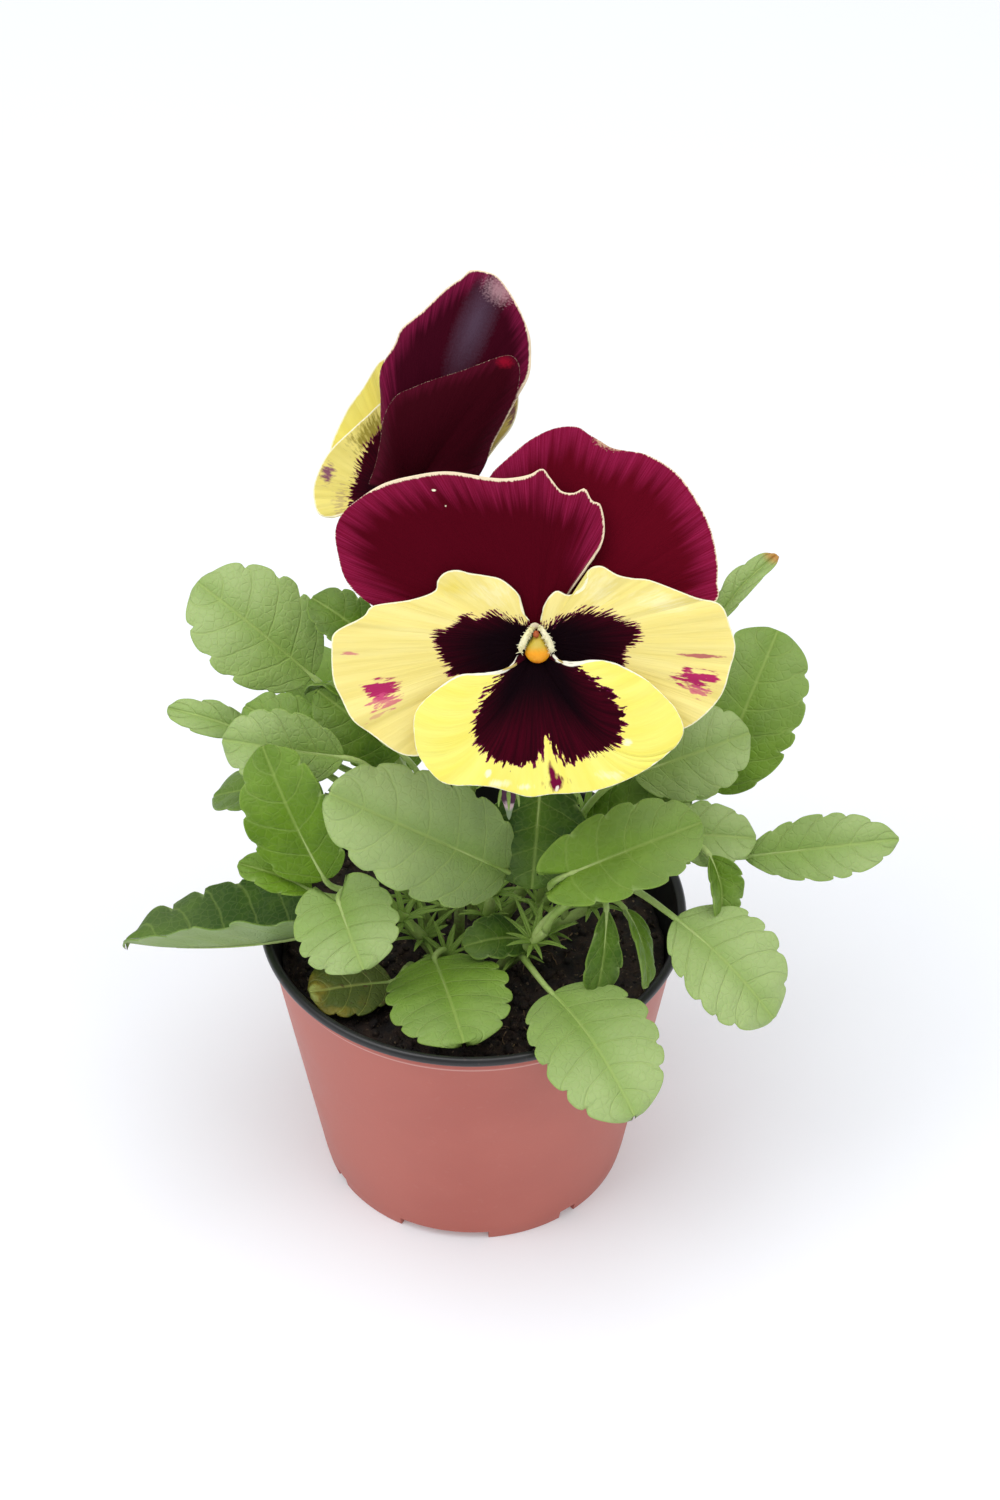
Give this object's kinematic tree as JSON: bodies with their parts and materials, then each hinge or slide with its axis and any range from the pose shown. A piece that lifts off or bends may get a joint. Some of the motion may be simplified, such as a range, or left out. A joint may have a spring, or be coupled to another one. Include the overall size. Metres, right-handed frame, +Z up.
{
  "type": "potted viola",
  "caption": "Potted viola: large blotched blooms on slim stalks above crenate leaves, in a small tapered plastic pot filled with peat.",
  "frame": {"origin": "centre of the plan outline of the whole plant and pot, on the surface that the pot stands on", "axes": "+Z up, +X to the plant's right as the front bloom faces the viewer, +Y to the back"},
  "size_m": [0.1614, 0.1217, 0.1932],
  "materials": {
    "terracotta_plastic": "satin",
    "peat": "rough",
    "leaf": "satin",
    "olive_leaf": "matte",
    "stalk": "satin",
    "burgundy_petal": "velvet",
    "pale_yellow_petal": "matte",
    "bright_yellow_petal": "matte",
    "bloom_eye": "matte",
    "bud": "matte"
  },
  "bodies": {
    "root": {"pot": "terracotta_plastic", "soil": "peat", "leafy_stem_left_front": "leaf", "leafy_stem_left": "leaf", "leafy_stem_left_rear": "leaf", "leafy_stem_front": "leaf", "leafy_stem_centre": "leaf", "leafy_stem_front_right": "leaf", "leafy_stem_right_front": "leaf", "leafy_stem_right": "leaf", "leafy_stem_right_rear": "leaf", "leafy_stem_rear": "leaf", "leafy_stem_rear_left": "leaf", "yellowing_leaf": "olive_leaf", "front_upper_left_petal": "burgundy_petal", "front_upper_right_petal": "burgundy_petal", "front_left_petal": "pale_yellow_petal", "front_right_petal": "pale_yellow_petal", "front_lower_petal": "bright_yellow_petal", "front_bloom_centre": "bloom_eye", "front_flower_stalk": "stalk", "rear_upper_far_petal": "burgundy_petal", "rear_upper_near_petal": "burgundy_petal", "rear_side_petal": "pale_yellow_petal", "rear_lower_petal": "bright_yellow_petal", "rear_far_side_petal": "pale_yellow_petal", "rear_bloom_centre": "bloom_eye", "rear_flower_stalk": "stalk", "bud": "bud", "bud_stalk": "stalk"}
  },
  "joints": []
}
